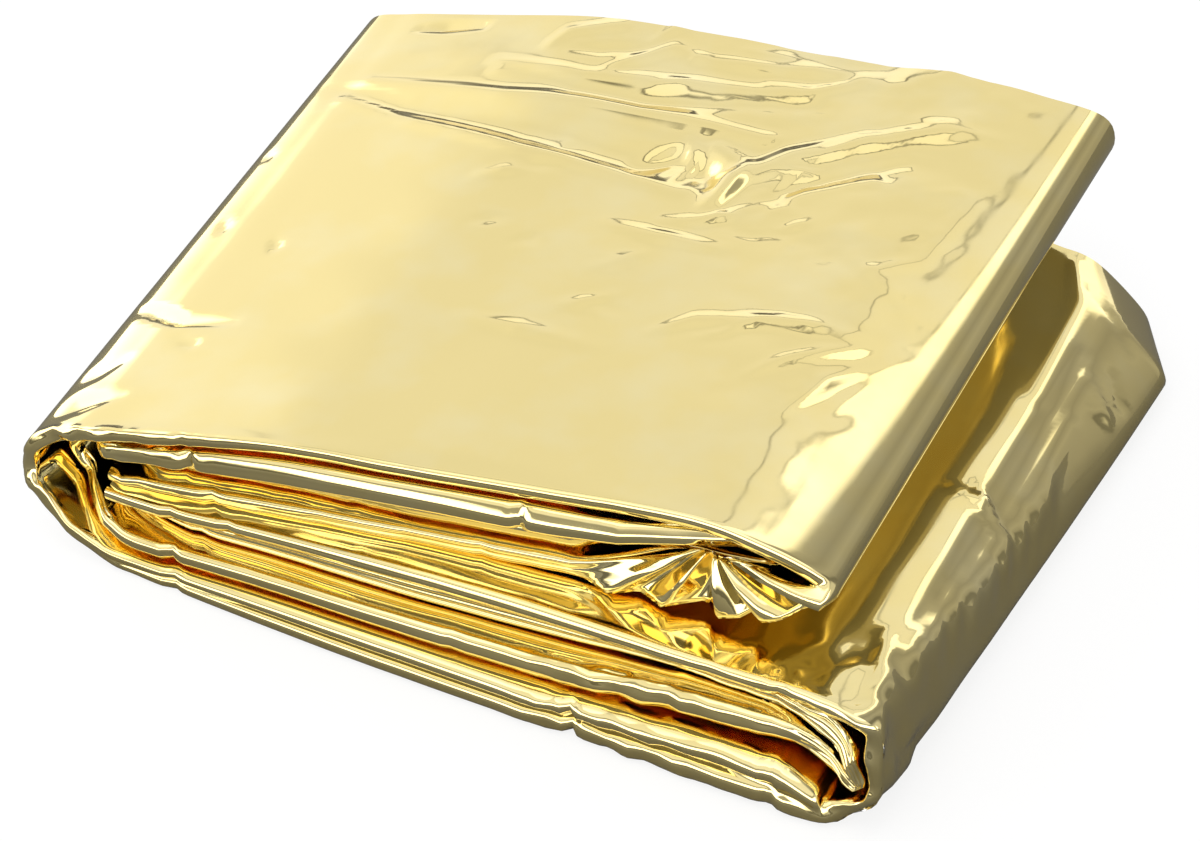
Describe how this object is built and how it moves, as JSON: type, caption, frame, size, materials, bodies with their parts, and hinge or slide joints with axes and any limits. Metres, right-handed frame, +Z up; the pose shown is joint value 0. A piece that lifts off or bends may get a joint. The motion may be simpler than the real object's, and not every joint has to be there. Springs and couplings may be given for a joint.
{
  "type": "folded emergency foil blanket",
  "caption": "Emergency foil blanket, a thin gold-faced metallised film pleated into a strip and folded over into a flat square packet, with its turned edges along the front.",
  "frame": {"origin": "middle of the packet's outline, on the surface that it rests on", "axes": "+X to the right along the turned edges at the front, +Y to the back, +Z up"},
  "size_m": [0.1232, 0.1129, 0.0309],
  "materials": {
    "gold_foil": "thin polyester film, metallised, gold coloured and mirror bright on the outside, silver on the reverse"
  },
  "bodies": {
    "root": {"blanket": "gold_foil"}
  },
  "joints": []
}
